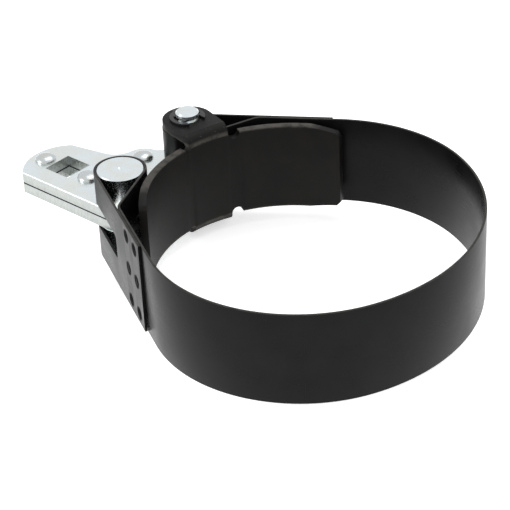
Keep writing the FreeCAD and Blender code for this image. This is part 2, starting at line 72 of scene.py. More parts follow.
# ---------------------------------------------------------------- sizes and colours a user may change
class StrapSettings(bpy.types.PropertyGroup):
    """Sizes of the strap and of its folded ends."""

    width: FloatProperty(name="Width", description="Height of the strap along the filter's axis",
                         default=STRAP_HIGH.z - STRAP_LOW.z, unit="LENGTH", subtype="DISTANCE", precision=5)
    thickness: FloatProperty(name="Thickness", description="Thickness of the spring steel",
                             default=1.0 * MM, unit="LENGTH", subtype="DISTANCE", precision=5)
    edge_radius: FloatProperty(name="Edge radius", description="Rounding of the strap's rolled edges",
                               default=0.2 * MM, unit="LENGTH", subtype="DISTANCE", precision=5)
    short_half: FloatProperty(name="Loop, short half", description="Loop's inner face, half across its short axis",
                              default=63.8 * MM, unit="LENGTH", subtype="DISTANCE", precision=5)
    long_half: FloatProperty(name="Loop, long half", description="Loop's inner face, half along its long axis",
                             default=70.85 * MM, unit="LENGTH", subtype="DISTANCE", precision=5)
    long_axis: FloatProperty(name="Long axis", description="Direction of the loop's long axis",
                             default=math.radians(70.0), unit="ROTATION", subtype="ANGLE")
    fold_length: FloatProperty(name="Fold length", description="From the pin's foot to the folded layer's cut end",
                               default=58.3 * MM, unit="LENGTH", subtype="DISTANCE", precision=5)
    fold_gap: FloatProperty(name="Fold gap", description="Gap between the two layers of a folded end",
                            default=0.1 * MM, unit="LENGTH", subtype="DISTANCE", precision=5)
    split_length: FloatProperty(name="Split length", description="From the pin's foot to where the layers part",
                                default=27.2 * MM, unit="LENGTH", subtype="DISTANCE", precision=5)
    split_bend: FloatProperty(name="Split bend", description="Bend radius where the layers part",
                              default=5.0 * MM, unit="LENGTH", subtype="DISTANCE", precision=5)
    barrel_gap: FloatProperty(name="Gap to barrel", description="Gap between the strap's loop and its barrel",
                              default=0.02 * MM, unit="LENGTH", subtype="DISTANCE", precision=5)
    anchor_angle: FloatProperty(name="Anchor end", description="Outward direction of the anchor end's doubled strap",
                                default=math.radians(200.4), unit="ROTATION", subtype="ANGLE")
    pivot_angle: FloatProperty(name="Pivot end", description="Outward direction of the pivot end's doubled strap",
                               default=math.radians(82.5), unit="ROTATION", subtype="ANGLE")
    bend_to: FloatProperty(name="Bend to", description="Direction on the loop where the moving end meets the band",
                           default=math.radians(268.0), unit="ROTATION", subtype="ANGLE")
    slot_height: FloatProperty(name="Slot height", description="Height of the slots that the lever passes through",
                               default=10.425 * MM, unit="LENGTH", subtype="DISTANCE", precision=5)
    anchor_slot: FloatProperty(name="Anchor slot", description="From the pin's foot to the slot's closed end",
                               default=26.0 * MM, unit="LENGTH", subtype="DISTANCE", precision=5)
    pivot_slot: FloatProperty(name="Pivot slot", description="From the roller's foot to the slot's closed end",
                              default=14.0 * MM, unit="LENGTH", subtype="DISTANCE", precision=5)
    slot_corner: FloatProperty(name="Slot corner", description="Corner radius at the slot's closed end",
                               default=1.6 * MM, unit="LENGTH", subtype="DISTANCE", precision=5)


class RivetSettings(bpy.types.PropertyGroup):
    """Sizes of the rivets through the strap's folded ends."""

    shank_radius: FloatProperty(name="Shank radius", description="Radius of the rivet between its countersinks",
                                default=2.0 * MM, unit="LENGTH", subtype="DISTANCE", precision=5)
    outer_radius: FloatProperty(name="Outer sink", description="Countersink radius at the strap's outer face",
                                default=3.0 * MM, unit="LENGTH", subtype="DISTANCE", precision=5)
    inner_radius: FloatProperty(name="Inner sink", description="Countersink radius at the strap's inner face",
                                default=2.7 * MM, unit="LENGTH", subtype="DISTANCE", precision=5)
    recess: FloatProperty(name="Recess", description="Depth of the rivet's outer end below the strap's face",
                          default=0.45 * MM, unit="LENGTH", subtype="DISTANCE", precision=5)
    dish: FloatProperty(name="Dish", description="Depth of the dish in the outer and inner rows",
                        default=0.35 * MM, unit="LENGTH", subtype="DISTANCE", precision=5)
    dome: FloatProperty(name="Dome", description="Height of the dome in the middle row",
                        default=0.6 * MM, unit="LENGTH", subtype="DISTANCE", precision=5)
    edge_distance: FloatProperty(name="Edge distance", description="From the cut end to the nearer column",
                                 default=5.9 * MM, unit="LENGTH", subtype="DISTANCE", precision=5)
    column_pitch: FloatProperty(name="Column pitch", description="Distance between the two columns",
                                default=10.3 * MM, unit="LENGTH", subtype="DISTANCE", precision=5)
    row_pitch: FloatProperty(name="Row pitch", description="Distance between neighbouring rows",
                             default=14.3 * MM, unit="LENGTH", subtype="DISTANCE", precision=5)
    sides: IntProperty(name="Sides", description="Faces round each rivet", default=28, min=12, max=64)


class FinishSettings(bpy.types.PropertyGroup):
    """Colours, as sRGB hex values, and the rounding of the jaw's edges."""

    strap_dark: StringProperty(name="Strap, dark", description="Black oxide where it is thick", default="#090909")
    strap_light: StringProperty(name="Strap, light", description="Black oxide where it is thin", default="#0f0f0f")
    strap_edge: StringProperty(name="Strap edge", description="Sheared edge with thin oxide", default="#33322f")
    jaw_dark: StringProperty(name="Jaw, dark", description="Phosphate in its pores", default="#0b0a09")
    jaw_light: StringProperty(name="Jaw, light", description="Phosphate on its high spots", default="#14120f")
    jaw_edge: StringProperty(name="Jaw edge", description="Rubbed edge of the stamping", default="#45423d")
    zinc_cool: StringProperty(name="Zinc, cool", description="Bluish tint of clear passivated zinc", default="#e0e8ea")
    zinc_warm: StringProperty(name="Zinc, warm", description="Straw tint of clear passivated zinc", default="#dfe3df")
    # the cut-edge colour is the blanked edge's own zinc and also painted shade for the lesser light on upright faces
    zinc_cut_and_shade: StringProperty(name="Zinc, cut edge", description="Plated blanked edge of the plate", default="#a3a8a6")
    jaw_round: FloatProperty(name="Jaw edge round", description="Rounding of the stamped jaw's edges",
                             default=0.6 * MM, unit="LENGTH", subtype="DISTANCE", precision=5)


class StageSettings(bpy.types.PropertyGroup):
    """Camera, floor and lights."""

    aim: FloatVectorProperty(name="Aim", description="Point that the camera circles", size=3,
                             default=(9.4 * MM, -12.5 * MM, 0.0), unit="LENGTH", subtype="XYZ", precision=5)
    distance: FloatProperty(name="Distance", description="From the aim point to the camera",
                            default=0.7275, unit="LENGTH", subtype="DISTANCE")
    elevation: FloatProperty(name="Elevation", description="Height of the camera above the aim point, as an angle",
                             default=math.radians(32.29), unit="ROTATION", subtype="ANGLE")
    pitch: FloatProperty(name="Pitch", description="Tilt of the camera up from the aim point",
                         default=math.radians(-0.06), unit="ROTATION", subtype="ANGLE")
    yaw: FloatProperty(name="Yaw", description="Turn of the camera away from the aim point",
                       default=math.radians(-1.984), unit="ROTATION", subtype="ANGLE")
    roll: FloatProperty(name="Roll", description="Tilt of the camera about its line of sight",
                        default=math.radians(-2.89), unit="ROTATION", subtype="ANGLE")
    lens: FloatProperty(name="Lens", description="Focal length in millimetres on a 36 mm sensor", default=134.36)
    floor: StringProperty(name="Floor", description="Colour of the floor", default="#f4f4f2")
    sky: FloatProperty(name="Sky", description="Strength of the light from all round", default=0.95, min=0.0)


# ---------------------------------------------------------------- nodes and materials
def linear(hex_value):
    """An sRGB hex value as linear red, green, blue and alpha."""
    parts = [int(hex_value[i:i + 2], 16) / 255 for i in (1, 3, 5)]
    return [p / 12.92 if p <= 0.04045 else ((p + 0.055) / 1.055) ** 2.4 for p in parts] + [1.0]


def add_node(tree, kind, inputs=None, **settings):
    """Adds a node, sets its properties, and sets or links its inputs, named or numbered."""
    node = tree.nodes.new(kind)
    for name, value in settings.items():
        setattr(node, name, value)
    for key, value in (inputs or {}).items():
        if isinstance(value, bpy.types.NodeSocket):
            tree.links.new(value, node.inputs[key])
        else:
            node.inputs[key].default_value = value
    return node


def start_material(name):
    """A new material with its tree, its shader and the piece's own coordinates in millimetres."""
    material = bpy.data.materials.new(name)
    material.use_nodes = True
    tree = material.node_tree
    tree.nodes.clear()
    shader = add_node(tree, "ShaderNodeBsdfPrincipled")
    add_node(tree, "ShaderNodeOutputMaterial", {"Surface": shader.outputs["BSDF"]})
    place = add_node(tree, "ShaderNodeTexCoord")
    scaled = add_node(tree, "ShaderNodeMapping", {"Vector": place.outputs["Object"], "Scale": (1000, 1000, 1000)})
    return material, tree, shader, scaled.outputs["Vector"]


def mottle(tree, coords, size, detail=3.0, stretch=(1, 1, 1)):
    """Noise whose patches are about size millimetres across, from 0 to 1."""
    moved = add_node(tree, "ShaderNodeMapping", {"Vector": coords, "Scale": stretch})
    noise = add_node(tree, "ShaderNodeTexNoise",
                     {"Vector": moved.outputs["Vector"], "Scale": 1.0 / size,
                      "Detail": detail, "Roughness": 0.55})
    return noise.outputs["Fac"]


def span(tree, value, low, high, to_low=0.0, to_high=1.0):
    """value taken from low..high to to_low..to_high, and held there."""
    node = add_node(tree, "ShaderNodeMapRange",
                    {"Value": value, "From Min": low, "From Max": high, "To Min": to_low, "To Max": to_high})
    return node.outputs["Result"]


def blend_colours(tree, fac, first, second):
    """A mix of two colours, each a hex value or a socket."""
    node = add_node(tree, "ShaderNodeMix", {"Factor": fac}, data_type="RGBA")
    for socket, value in ((node.inputs[6], first), (node.inputs[7], second)):
        if isinstance(value, str):
            socket.default_value = linear(value)
        else:
            tree.links.new(value, socket)
    return node.outputs[2]


def calculate(tree, operation, first, second=0.0):
    """One sum on two values."""
    return add_node(tree, "ShaderNodeMath", {0: first, 1: second}, operation=operation).outputs[0]


def raise_grain(tree, shader, height, distance, strength=1.0):
    """Bump from a height between 0 and 1; distance is its depth in millimetres."""
    bump = add_node(tree, "ShaderNodeBump", {"Height": height, "Distance": distance * MM, "Strength": strength})
    tree.links.new(bump.outputs["Normal"], shader.inputs["Normal"])


def black_oxide_spring_steel(finish):
    """Cold rolled spring steel strip, blued black in a hot salt bath and oiled.

    The eye sees a near-black satin skin that turns pale at a glancing angle, faint rolling lines along
    the strip, slightly cloudy oil film, and greyer sheared edges.
    """
    material, tree, shader, mm = start_material("black_oxide_spring_steel")
    split = add_node(tree, "ShaderNodeSeparateXYZ", {"Vector": mm})
    cloud = mottle(tree, mm, 14.0)
    # rolling lines are about 0.02 mm apart in steel; 0.5 mm is what shows
    lines = mottle(tree, mm, 0.5, detail=2.0, stretch=(0.04, 0.04, 1.0))
    pores = mottle(tree, mm, 0.35, detail=1.0)
    body = blend_colours(tree, span(tree, cloud, 0.35, 0.65), finish.strap_dark, finish.strap_light)
    height = calculate(tree, "ABSOLUTE", split.outputs["Z"])
    half_width = (STRAP_HIGH.z - STRAP_LOW.z) / 2 / MM
    edge = span(tree, height, half_width - 0.19, half_width - 0.07)
    worn = calculate(tree, "MULTIPLY", edge, span(tree, mottle(tree, mm, 3.0), 0.3, 0.55, 0.45, 1.0))
    tree.links.new(blend_colours(tree, worn, body, finish.strap_edge), shader.inputs["Base Color"])
    shine = calculate(tree, "ADD", span(tree, cloud, 0.3, 0.7, 0.24, 0.31),
                      span(tree, lines, 0.3, 0.7, 0.0, 0.05))
    tree.links.new(shine, shader.inputs["Roughness"])
    shader.inputs["Specular IOR Level"].default_value = 0.13
    raise_grain(tree, shader, calculate(tree, "ADD", lines, pores), 0.006)
    return material


def black_rivet_steel_and_recess_shade(finish):
    """Soft steel rivets, blued with the strap after setting.

    The eye sees the strap's black, duller in the recess, with a fine grain; the darker colour there is painted shade
    of the recess.
    """
    material, tree, shader, mm = start_material("black_rivet_steel_and_recess_shade")
    cloud = mottle(tree, mm, 2.0)
    # painted shade: the rivets are coloured darker than the strap for the shade in their recesses
    tree.links.new(blend_colours(tree, cloud, "#050505", finish.strap_dark), shader.inputs["Base Color"])
    tree.links.new(span(tree, cloud, 0.3, 0.7, 0.5, 0.62), shader.inputs["Roughness"])
    shader.inputs["Specular IOR Level"].default_value = 0.05
    raise_grain(tree, shader, mottle(tree, mm, 0.4, detail=2.0), 0.015)
    return material


def black_phosphate_stamping(finish, half_height):
    """Mild steel plate, pressed to shape and coated in black manganese phosphate.

    The eye sees a dull brown-black with fine crystal grain, faint draw marks round the curve, and grey
    rubbed edges where the coating is thin.
    """
    material, tree, shader, mm = start_material("black_phosphate_stamping")
    split = add_node(tree, "ShaderNodeSeparateXYZ", {"Vector": mm})
    cloud = mottle(tree, mm, 9.0)
    # phosphate crystals are under 0.02 mm; 0.3 mm is what shows
    grain = mottle(tree, mm, 0.3, detail=2.0)
    marks = mottle(tree, mm, 0.8, detail=2.0, stretch=(0.1, 0.1, 1.0))
    mix = calculate(tree, "MULTIPLY", span(tree, cloud, 0.3, 0.7), span(tree, grain, 0.3, 0.7, 0.5, 1.0))
    body = blend_colours(tree, mix, finish.jaw_dark, finish.jaw_light)
    height = calculate(tree, "ABSOLUTE", split.outputs["Z"])
    top = span(tree, height, half_height - 0.75, half_height - 0.1)
    ear = span(tree, height, half_height + 0.5, half_height + 1.5, 1.0, 0.0)
    rubbed = calculate(tree, "MULTIPLY", calculate(tree, "MULTIPLY", top, ear),
                       span(tree, mottle(tree, mm, 2.5), 0.32, 0.55, 0.35, 1.0))
    specks = span(tree, mottle(tree, mm, 0.9, detail=1.0), 0.68, 0.74, 0.0, 0.5)
    scuffs = calculate(tree, "MULTIPLY", specks, span(tree, height, half_height - 1.0, half_height + 1.0))
    tint = blend_colours(tree, rubbed, body, finish.jaw_edge)
    tree.links.new(blend_colours(tree, scuffs, tint, "#4f4c47"), shader.inputs["Base Color"])
    tree.links.new(span(tree, grain, 0.3, 0.7, 0.46, 0.58), shader.inputs["Roughness"])
    shader.inputs["Specular IOR Level"].default_value = 0.16
    raise_grain(tree, shader, calculate(tree, "ADD", grain, marks), 0.012)
    return material


def black_phosphate_spring_clip(finish):
    """Stamped spring steel clips, phosphated and oiled.

    The eye sees a deep black with a wet-looking oil sheen and a little blanking grain.
    """
    material, tree, shader, mm = start_material("black_phosphate_spring_clip")
    cloud = mottle(tree, mm, 1.5)
    tree.links.new(blend_colours(tree, cloud, "#0b0b0d", "#18181b"), shader.inputs["Base Color"])
    tree.links.new(span(tree, cloud, 0.3, 0.7, 0.24, 0.4), shader.inputs["Roughness"])
    shader.inputs["Specular IOR Level"].default_value = 0.5
    raise_grain(tree, shader, mottle(tree, mm, 0.25, detail=2.0), 0.01)
    return material


def zinc_plated_blanking(finish):
    """Steel plate blanked in a press, then barrel zinc plated and clear passivated.

    The eye sees a bright silvery white with bluish and straw clouds, fine rolling grain on the flat faces,
    and on the blanked edges a smooth sheared band above a rougher torn band.
    """
    material, tree, shader, mm = start_material("zinc_plated_blanking")
    split = add_node(tree, "ShaderNodeSeparateXYZ", {"Vector": mm})
    normal = add_node(tree, "ShaderNodeNewGeometry").outputs["Normal"]
    facing = add_node(tree, "ShaderNodeSeparateXYZ", {"Vector": normal})
    side = span(tree, calculate(tree, "ABSOLUTE", facing.outputs["Z"]), 0.5, 0.2)
    cloud = mottle(tree, mm, 11.0, detail=2.0)
    fine = mottle(tree, mm, 0.6, detail=3.0)
    tumble = mottle(tree, mm, 2.2, detail=2.0)
    streaks = mottle(tree, mm, 0.45, detail=2.0, stretch=(1.0, 1.0, 0.12))
    flat = blend_colours(tree, span(tree, cloud, 0.38, 0.62), finish.zinc_cool, finish.zinc_warm)
    # painted shade in part: upright side faces take the darker cut-edge colour, for the blanked edge's own zinc and
    # for the lesser light on them
    cut = blend_colours(tree, span(tree, streaks, 0.3, 0.7), finish.zinc_cut_and_shade, "#b4b8b5")
    plated = blend_colours(tree, side, flat, cut)
    # painted shadow: a dark band along the joint between the two plates, for the shadow in the gap between their edges
    seam_shadow = span(tree, calculate(tree, "ABSOLUTE", split.outputs["Z"]), 0.4, 0.28)
    tree.links.new(blend_colours(tree, seam_shadow, plated, "#1a1b1b"), shader.inputs["Base Color"])
    shader.inputs["Metallic"].default_value = 1.0
    # each plate's torn band is the lower two fifths of its own edge
    within = add_node(tree, "ShaderNodeMath", {0: split.outputs["Z"], 1: PLATE_THICKNESS / MM, 2: 0.0},
                      operation="WRAP").outputs[0]
    torn = calculate(tree, "MULTIPLY", side, span(tree, within, 2.1, 1.6))
    dull = calculate(tree, "ADD", span(tree, tumble, 0.3, 0.7, 0.24, 0.34),
                     calculate(tree, "MULTIPLY", torn, 0.16))
    tree.links.new(dull, shader.inputs["Roughness"])
    flat_grain = calculate(tree, "MULTIPLY", fine, calculate(tree, "SUBTRACT", 1.0, side))
    roughened = calculate(tree, "ADD", side, calculate(tree, "MULTIPLY", torn, 1.5))
    edge_grain = calculate(tree, "MULTIPLY", streaks, roughened)
    raise_grain(tree, shader, calculate(tree, "ADD", flat_grain, edge_grain), 0.004)
    return material


def zinc_plated_turning(finish, name, centre):
    """Free-cutting steel bar, turned in a lathe, then zinc plated and clear passivated.

    The eye sees a brighter, smoother silver than the plate, with faint rings from the tool on its ends.
    """
    material, tree, shader, mm = start_material(name)
    middle = add_node(tree, "ShaderNodeMapping",
                      {"Vector": mm, "Location": (-centre.x / MM, -centre.y / MM, 0.0)})
    flat_place = add_node(tree, "ShaderNodeVectorMath",
                          {0: middle.outputs["Vector"], 1: (1.0, 1.0, 0.0)}, operation="MULTIPLY")
    radius = add_node(tree, "ShaderNodeVectorMath", {0: flat_place.outputs[0]},
                      operation="LENGTH").outputs["Value"]
    # the tool's feed is about 0.1 mm a turn; 0.4 mm is what shows
    rings = calculate(tree, "SINE", calculate(tree, "MULTIPLY", radius, 2 * math.pi / 0.4))
    cloud = mottle(tree, mm, 5.0, detail=2.0)
    tree.links.new(blend_colours(tree, span(tree, cloud, 0.38, 0.62), finish.zinc_cool, finish.zinc_warm),
                   shader.inputs["Base Color"])
    shader.inputs["Metallic"].default_value = 1.0
    tree.links.new(span(tree, mottle(tree, mm, 1.4), 0.3, 0.7, 0.2, 0.3), shader.inputs["Roughness"])
    height = calculate(tree, "ADD", calculate(tree, "MULTIPLY", rings, 0.2), mottle(tree, mm, 0.5))
    raise_grain(tree, shader, height, 0.005)
    return material


def zinc_plated_rivet(finish):
    """Steel rivets, headed in place by a spinning tool, zinc plated with the lever.

    The eye sees a bright dome with soft dents and a slightly darker foot.
    """
    material, tree, shader, mm = start_material("zinc_plated_rivet")
    cloud = mottle(tree, mm, 3.0, detail=2.0)
    tint = blend_colours(tree, span(tree, cloud, 0.38, 0.62), "#c6cdd0", "#c9cbc6")
    tree.links.new(tint, shader.inputs["Base Color"])
    shader.inputs["Metallic"].default_value = 1.0
    tree.links.new(span(tree, cloud, 0.3, 0.7, 0.2, 0.3), shader.inputs["Roughness"])
    raise_grain(tree, shader, mottle(tree, mm, 1.6, detail=2.0), 0.05)
    return material


def studio_floor(settings):
    """A sheet of matt white paper with a little light of its own, which keeps shadows pale."""
    material, tree, shader, mm = start_material("matt_white_paper")
    tint = blend_colours(tree, mottle(tree, mm, 40.0), settings.floor, "#f7f7f6")
    tree.links.new(tint, shader.inputs["Base Color"])
    shader.inputs["Roughness"].default_value = 0.9
    shader.inputs["Specular IOR Level"].default_value = 0.1
    shader.inputs["Emission Color"].default_value = (1.0, 1.0, 1.0, 1.0)
    shader.inputs["Emission Strength"].default_value = 0.55
    return material


# ---------------------------------------------------------------- meshes
def new_object(name, mesh):
    """An object for a mesh, at the origin."""
    item = bpy.data.objects.new(name, mesh)
    bpy.context.scene.collection.objects.link(item)
    return item


def mesh_of(name, points, faces=(), edges=()):
    """A mesh from plain lists."""
    mesh = bpy.data.meshes.new(name)
    mesh.from_pydata([tuple(p) for p in points], list(edges), list(faces))
    mesh.update()
    return mesh


def face_outwards(mesh):
    """Merges doubles and turns every face outwards."""
    build = bmesh.new()
    build.from_mesh(mesh)
    bmesh.ops.remove_doubles(build, verts=build.verts, dist=1e-7)
    bmesh.ops.recalc_face_normals(build, faces=build.faces)
    build.to_mesh(mesh)
    build.free()


def shade(mesh, degrees=32.0):
    """Smooth shading with edges sharper than this kept crisp."""
    mesh.polygons.foreach_set("use_smooth", [True] * len(mesh.polygons))
    mesh.set_sharp_from_angle(angle=math.radians(degrees))


def bake_modifiers(item):
    """Replaces the object's mesh by the result of its modifiers, and removes them."""
    bpy.context.view_layer.update()
    evaluated = item.evaluated_get(bpy.context.evaluated_depsgraph_get())
    mesh = bpy.data.meshes.new_from_object(evaluated)
    mesh.name = item.name
    item.modifiers.clear()
    item.data = mesh
    return item


def lathe(name, profile, sides):
    """A closed mesh turned about +Z from (radius, height) points that start and end on the axis."""
    points, rings = [], []
    for radius, height in profile:
        if radius < 1e-9:
            rings.append([len(points)])
            points.append((0.0, 0.0, height))
        else:
            rings.append(list(range(len(points), len(points) + sides)))
            turn = 2 * math.pi / sides
            points += [(radius * math.cos(k * turn), radius * math.sin(k * turn), height) for k in range(sides)]
    faces = []
    for low, high in zip(rings, rings[1:]):
        for k in range(sides):
            j = (k + 1) % sides
            corners = [low[k % len(low)], low[j % len(low)], high[j % len(high)], high[k % len(high)]]
            faces.append([c for i, c in enumerate(corners) if c not in corners[:i]])
    mesh = mesh_of(name, points, faces)
    face_outwards(mesh)
    return mesh


def give(item, material):
    """Makes this the object's one material, or puts it in every slot it has."""
    if not item.material_slots:
        item.data.materials.append(material)
    for place in item.material_slots:
        place.material = material


# ---------------------------------------------------------------- geometry nodes
def start_group(name, sockets):
    """A geometry node group with named inputs; each socket is (name, kind, default)."""
    group = bpy.data.node_groups.new(name, "GeometryNodeTree")
    group.interface.new_socket("Geometry", in_out="OUTPUT", socket_type="NodeSocketGeometry")
    group.interface.new_socket("Geometry", in_out="INPUT", socket_type="NodeSocketGeometry")
    for label, kind, default in sockets:
        socket = group.interface.new_socket(label, in_out="INPUT", socket_type=kind)
        if default is not None:
            socket.default_value = default
    return group, group.nodes.new("NodeGroupInput").outputs


def end_group(group, geometry, material):
    """Ends a group in real geometry with its material."""
    real = add_node(group, "GeometryNodeRealizeInstances", {"Geometry": geometry})
    coated = add_node(group, "GeometryNodeSetMaterial", {"Geometry": real.outputs[0], "Material": material})
    add_node(group, "NodeGroupOutput", {0: coated.outputs[0]})


def strap_group():
    """A strip of rounded section swept along the object's edges, standing upright."""
    group, given = start_group("strip_along_path", (
        ("Width", "NodeSocketFloat", 0.038), ("Thickness", "NodeSocketFloat", 0.001),
        ("Edge Radius", "NodeSocketFloat", 0.0002), ("Material", "NodeSocketMaterial", None)))
    path = add_node(group, "GeometryNodeMeshToCurve", {"Mesh": given["Geometry"]})
    upright = add_node(group, "GeometryNodeSetCurveNormal", {"Curve": path.outputs["Curve"]}, mode="Z_UP")
    section = add_node(group, "GeometryNodeCurvePrimitiveQuadrilateral",
                       {"Width": given["Thickness"], "Height": given["Width"]})
    rounded = add_node(group, "GeometryNodeFilletCurve",
                       {"Curve": section.outputs["Curve"], "Radius": given["Edge Radius"], "Count": 2},
                       mode="POLY")
    swept = add_node(group, "GeometryNodeCurveToMesh",
                     {"Curve": upright.outputs["Curve"], "Profile Curve": rounded.outputs["Curve"],
                      "Fill Caps": True})
    end_group(group, swept.outputs["Mesh"], given["Material"])
    return group


def rivet_group():
    """The object's own mesh repeated on a grid, then turned and moved to its place."""
    group, given = start_group("rivets_on_grid", (
        ("Columns", "NodeSocketInt", 2), ("Rows", "NodeSocketInt", 3),
        ("Column Pitch", "NodeSocketFloat", 0.01), ("Row Pitch", "NodeSocketFloat", 0.014),
        ("Place", "NodeSocketVector", None), ("Turn", "NodeSocketVector", None),
        ("Material", "NodeSocketMaterial", None)))
    runs = []
    for count, pitch in (("Columns", "Column Pitch"), ("Rows", "Row Pitch")):
        gaps = add_node(group, "ShaderNodeMath", {0: given[count], 1: 1.0}, operation="SUBTRACT")
        runs.append(add_node(group, "ShaderNodeMath", {0: gaps.outputs[0], 1: given[pitch]},
                             operation="MULTIPLY"))
    grid = add_node(group, "GeometryNodeMeshGrid",
                    {"Size X": runs[0].outputs[0], "Size Y": runs[1].outputs[0],
                     "Vertices X": given["Columns"], "Vertices Y": given["Rows"]})
    copies = add_node(group, "GeometryNodeInstanceOnPoints",
                      {"Points": grid.outputs["Mesh"], "Instance": given["Geometry"]})
    placed = add_node(group, "GeometryNodeTransform",
                      {"Geometry": copies.outputs["Instances"], "Translation": given["Place"],
                       "Rotation": given["Turn"]})
    end_group(group, placed.outputs["Geometry"], given["Material"])
    return group


def run_group(item, group, values):
    """Runs a node group on the object with named values and keeps the result as a plain mesh."""
    modifier = item.modifiers.new(group.name, "NODES")
    modifier.node_group = group
    for socket in group.interface.items_tree:
        if socket.item_type == "SOCKET" and socket.in_out == "INPUT" and socket.name in values:
            modifier[socket.identifier] = values[socket.name]
    return bake_modifiers(item)


# ---------------------------------------------------------------- strap layout
class FoldedEnd:
    """One folded end of the strap, with s along it from the pin's foot and q inwards."""

    def __init__(self, strap, pin, angle, turn):
        self.strap = strap
        self.pin = pin
        self.angle = angle
        self.out = Vector((math.cos(angle), math.sin(angle), 0.0))
        side = angle + turn * math.pi / 2
        self.along = Vector((math.cos(side), math.sin(side), 0.0))
        self.wrap = BARREL_RADIUS + strap.barrel_gap

    def at(self, s, q, z=0.0):
        """The place of a point given in the end's own directions."""
        return self.pin + self.along * s - self.out * q + Vector((0.0, 0.0, z))

    def inner_distance(self):
        """Distance from the origin to the doubled strap's inner face."""
        return self.pin.dot(self.out) + self.wrap - self.strap.fold_gap - self.strap.thickness

    def middle_line(self):
        """Points down the middle of the strap, from its cut end round the pin to the doubled stretch."""
        strap = self.strap
        half = strap.thickness / 2
        band = -self.wrap + strap.fold_gap
        reach = math.hypot(strap.split_length, band)
        touch = math.atan2(band, strap.split_length) + math.acos(self.wrap / reach)
        lean = math.atan2(self.wrap * math.sin(touch) - band, self.wrap * math.cos(touch) - strap.split_length)
        bend = math.pi - lean
        outer = strap.split_bend + strap.thickness
        centre = (strap.split_length + outer * math.tan(bend / 2), band + outer)
        radius = self.wrap + half
        points = straight((strap.fold_length, -radius), (0.0, -radius))
        points += turned_arc((0.0, 0.0), radius, -math.pi / 2, touch - 2 * math.pi, 44)
        bow = outer - half
        first = (centre[0] - math.sin(bend) * bow, centre[1] - math.cos(bend) * bow)
        points += straight(points.pop(), first)
        points += turned_arc(centre, bow, -math.pi / 2 - bend, -math.pi / 2, 6)
        return [self.at(s, q) for s, q in points]

    def frame_matrix(self, s, q):
        """Rotation and place whose X runs along the end and whose Z points outwards."""
        across = self.out.cross(self.along)
        turn = Matrix((self.along, across, self.out)).transposed()
        return turn, self.at(s, q)


def straight(start, stop, step=2.2 * MM):
    """Points along a line, both ends included."""
    count = max(1, round(math.hypot(stop[0] - start[0], stop[1] - start[1]) / step))
    return [(start[0] + (stop[0] - start[0]) * k / count, start[1] + (stop[1] - start[1]) * k / count)
            for k in range(count + 1)]


def turned_arc(centre, radius, start, stop, count):
    """Points round an arc, without its first."""
    angles = [start + (stop - start) * k / count for k in range(1, count + 1)]
    return [(centre[0] + radius * math.cos(a), centre[1] + radius * math.sin(a)) for a in angles]


def direction(angle):
    """A flat unit vector at this angle."""
    return Vector((math.cos(angle), math.sin(angle)))


def loop_line(strap, anchor_end, pivot_end):
    """Middle of the loop as (angle, point) from the anchor end round to the pivot end."""
    shift = (strap.long_half - strap.short_half) / (2 - math.sqrt(2))
    tight = strap.long_half - shift
    flat = strap.short_half + shift
    axes = (strap.long_axis + math.pi, strap.long_axis)
    rows = []
    for end, axis in zip((anchor_end, pivot_end), axes):
        reach = tight + shift * math.cos(end.angle - axis)
        rows.append((end.out.x, end.out.y, end.inner_distance() - reach))
    (a, b, p), (c, d, q) = rows
    det = a * d - b * c
    centre = Vector(((p * d - b * q) / det, (a * q - p * c) / det))
    second = axes[0] + math.pi / 4
    third = second + math.pi / 2
    last = pivot_end.angle + 2 * math.pi
    half = strap.thickness / 2
    runs = ((centre + direction(axes[0]) * shift, tight + half, anchor_end.angle, second),
            (centre + direction(axes[0] - math.pi / 2) * shift, flat + half, second, third),
            (centre + direction(axes[1]) * shift, tight + half, third, last))
    line = [(runs[0][2], runs[0][0] + direction(runs[0][2]) * runs[0][1])]
    for middle, radius, start, stop in runs:
        count = max(2, round((stop - start) / math.radians(1.5)))
        for k in range(1, count + 1):
            angle = start + (stop - start) * k / count
            line.append((angle, middle + direction(angle) * radius))
    return [(angle, Vector((point.x, point.y, 0.0))) for angle, point in line]


def slot_cutter(end, length, strap):
    """A long box with two rounded corners, to cut the lever's slot through both layers."""
    reach = end.wrap + strap.thickness + 1.0 * MM
    half = strap.slot_height / 2
    corner = strap.slot_corner
    outline = [(-reach, -half)]
    outline += [(length - corner + corner * math.cos(a), -half + corner + corner * math.sin(a))
                for a in (math.radians(-90 + 15 * k) for k in range(7))]
    outline += [(length - corner + corner * math.cos(a), half - corner + corner * math.sin(a))
                for a in (math.radians(15 * k) for k in range(7))]
    outline.append((-reach, half))
    count = len(outline)
    points = [end.at(s, q, z) for q in (-reach, reach) for s, z in outline]
    faces = [list(range(count)), list(range(2 * count - 1, count - 1, -1))]
    faces += [[k, (k + 1) % count, count + (k + 1) % count, count + k] for k in range(count)]
    return points, faces


def rivet_profile(strap, rivet, domed):
    """Half outline of a set rivet: flush inside, recessed outside; height 0 is the strap's outer face."""
    grip = 2 * strap.thickness + strap.fold_gap
    inner_depth = rivet.inner_radius - rivet.shank_radius
    outer_depth = rivet.outer_radius - rivet.shank_radius
    rim = rivet.outer_radius - rivet.recess
    profile = [(0.0, -grip), (rivet.inner_radius, -grip), (rivet.shank_radius, -grip + inner_depth),
               (rivet.shank_radius, -outer_depth), (rim, -rivet.recess)]
    if domed:
        foot = rim - 0.7 * MM
        steps = 5
        for k in range(steps + 1):
            a = math.pi / 2 * k / steps
            profile.append((foot * math.cos(a) if k < steps else 0.0, -rivet.recess + rivet.dome * math.sin(a)))
    else:
        low = -rivet.recess - rivet.dish
        profile += [(rim - 0.4 * MM, -rivet.recess), (rim * 0.7, low + 0.35 * rivet.dish)]
        profile += [(rim * 0.45, low), (0.0, low)]
    return profile


